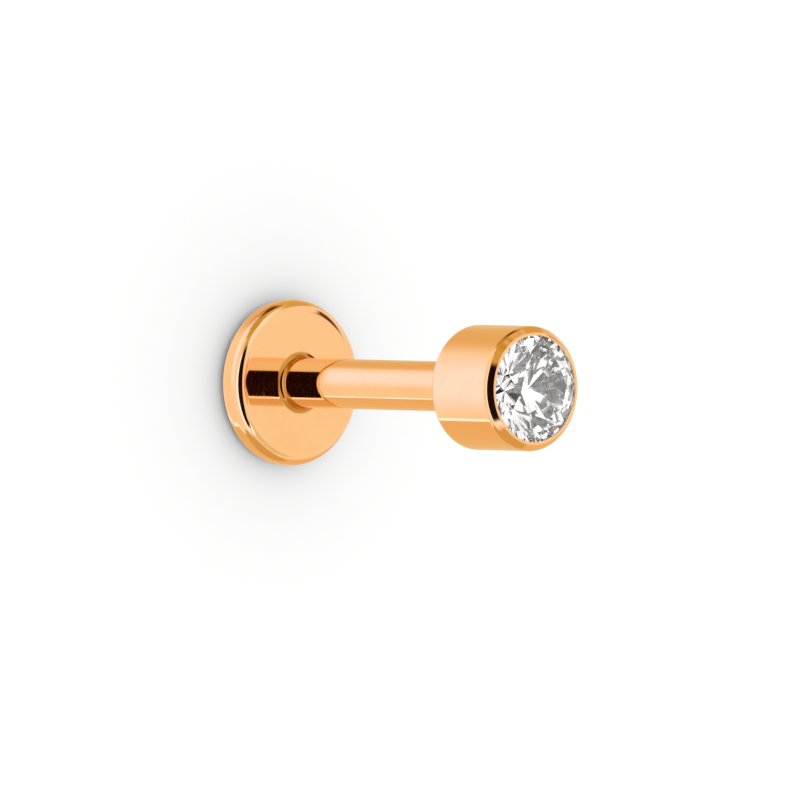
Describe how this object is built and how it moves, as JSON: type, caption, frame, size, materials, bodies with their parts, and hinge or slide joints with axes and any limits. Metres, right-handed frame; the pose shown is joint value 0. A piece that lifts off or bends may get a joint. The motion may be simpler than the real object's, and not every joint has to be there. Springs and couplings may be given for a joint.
{
  "type": "labret stud",
  "caption": "Labret stud standing on its flat disc: a slim round bar closed by a straight-sided bezel cup that holds a clear round brilliant-cut stone.",
  "frame": {"origin": "centre of the disc's flat back, on the surface that the stud stands on", "axes": "+Z along the bar from the disc to the stone; X and Y lie in the disc's back"},
  "size_m": [0.004, 0.004, 0.0095],
  "materials": {
    "rose_gold": "mirror polish",
    "clear_stone": "faceted"
  },
  "bodies": {
    "root": {"labret_post": "rose_gold", "bezel_head": "rose_gold", "stone": "clear_stone"}
  },
  "joints": []
}
